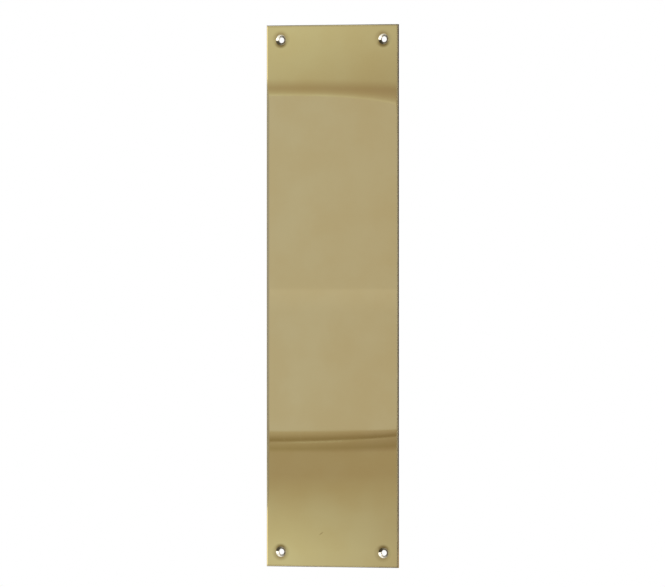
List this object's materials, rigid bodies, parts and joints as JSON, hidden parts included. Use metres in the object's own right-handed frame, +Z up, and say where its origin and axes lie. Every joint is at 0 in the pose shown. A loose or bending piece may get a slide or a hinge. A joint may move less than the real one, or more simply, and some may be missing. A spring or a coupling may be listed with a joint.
{
  "type": "door finger plate",
  "caption": "Plain rectangular brass finger plate for a door: a flat polished sheet with square corners and a countersunk screw hole near each corner.",
  "frame": {"origin": "centre of the back face, which lies flat on the door", "axes": "+Z up the door along the plate's length, +X across its width to the right, +Y into the door, so the polished front faces -Y"},
  "size_m": [0.075, 0.003, 0.3],
  "materials": {
    "polished_brass": "polished front and arris, plain rolled back, unlacquered"
  },
  "bodies": {
    "root": {"finger_plate": "polished_brass"}
  },
  "joints": []
}
